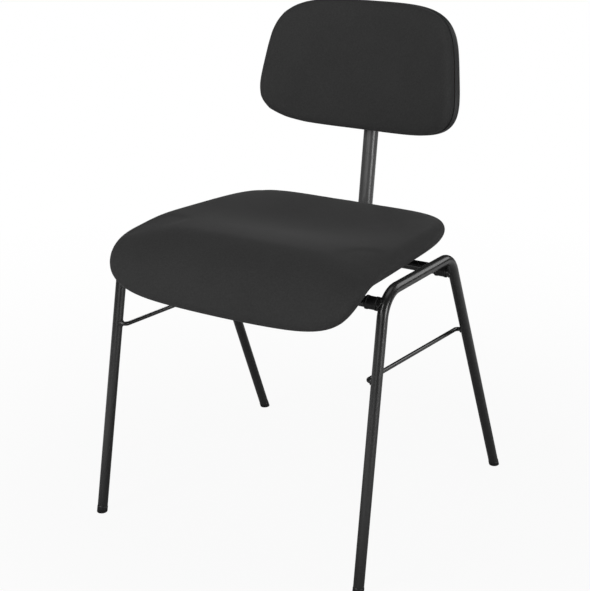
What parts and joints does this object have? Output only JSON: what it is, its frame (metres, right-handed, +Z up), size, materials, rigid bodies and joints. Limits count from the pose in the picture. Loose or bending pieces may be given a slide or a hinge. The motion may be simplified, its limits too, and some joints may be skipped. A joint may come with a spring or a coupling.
{
  "type": "stacking choir chair",
  "caption": "Stacking choir chair with a bent tube frame, brace rods, padded waterfall seat, and a wrapped padded backrest on a single leaning post.",
  "frame": {"origin": "on the floor, under the middle of the chair's outer box", "axes": "+Z up from the floor, -Y towards the front of the chair, +X to the right as seen from the front"},
  "size_m": [0.4838, 0.5008, 0.772],
  "materials": {
    "frame_coat": "black powder coat, satin",
    "glide_plastic": "black moulded plastic",
    "bumper_plastic": "black moulded plastic, soft",
    "spacer_plastic": "black moulded plastic",
    "board_plywood": "moulded beech plywood, raw",
    "cover_plastic": "black moulded sheet",
    "seat_fabric": "dark charcoal woven upholstery",
    "back_fabric": "dark charcoal woven upholstery",
    "shell_plastic": "black moulded shell, fine grain",
    "fastener_steel": "zinc plated"
  },
  "bodies": {
    "root": {"left_side_frame": "frame_coat", "right_side_frame": "frame_coat", "front_cross_tube": "frame_coat", "rear_cross_tube": "frame_coat", "left_brace_rod": "frame_coat", "right_brace_rod": "frame_coat", "back_post": "frame_coat", "back_plate": "frame_coat", "post_front_plug": "glide_plastic", "post_top_plug": "glide_plastic", "front_left_glide": "glide_plastic", "front_right_glide": "glide_plastic", "rear_left_glide": "glide_plastic", "rear_right_glide": "glide_plastic", "front_left_bumper": "bumper_plastic", "front_right_bumper": "bumper_plastic", "rear_left_bumper": "bumper_plastic", "rear_right_bumper": "bumper_plastic", "front_left_spacer": "spacer_plastic", "front_right_spacer": "spacer_plastic", "rear_left_spacer": "spacer_plastic", "rear_right_spacer": "spacer_plastic", "seat_board": "board_plywood", "seat_cover": "cover_plastic", "seat_cushion": "seat_fabric", "seat_screws": "fastener_steel", "seat_washers": "fastener_steel", "seat_t_nuts": "fastener_steel", "back_board": "board_plywood", "back_shell": "shell_plastic", "back_cushion": "back_fabric", "back_screws": "fastener_steel", "back_washers": "fastener_steel", "back_t_nuts": "fastener_steel"}
  },
  "joints": []
}
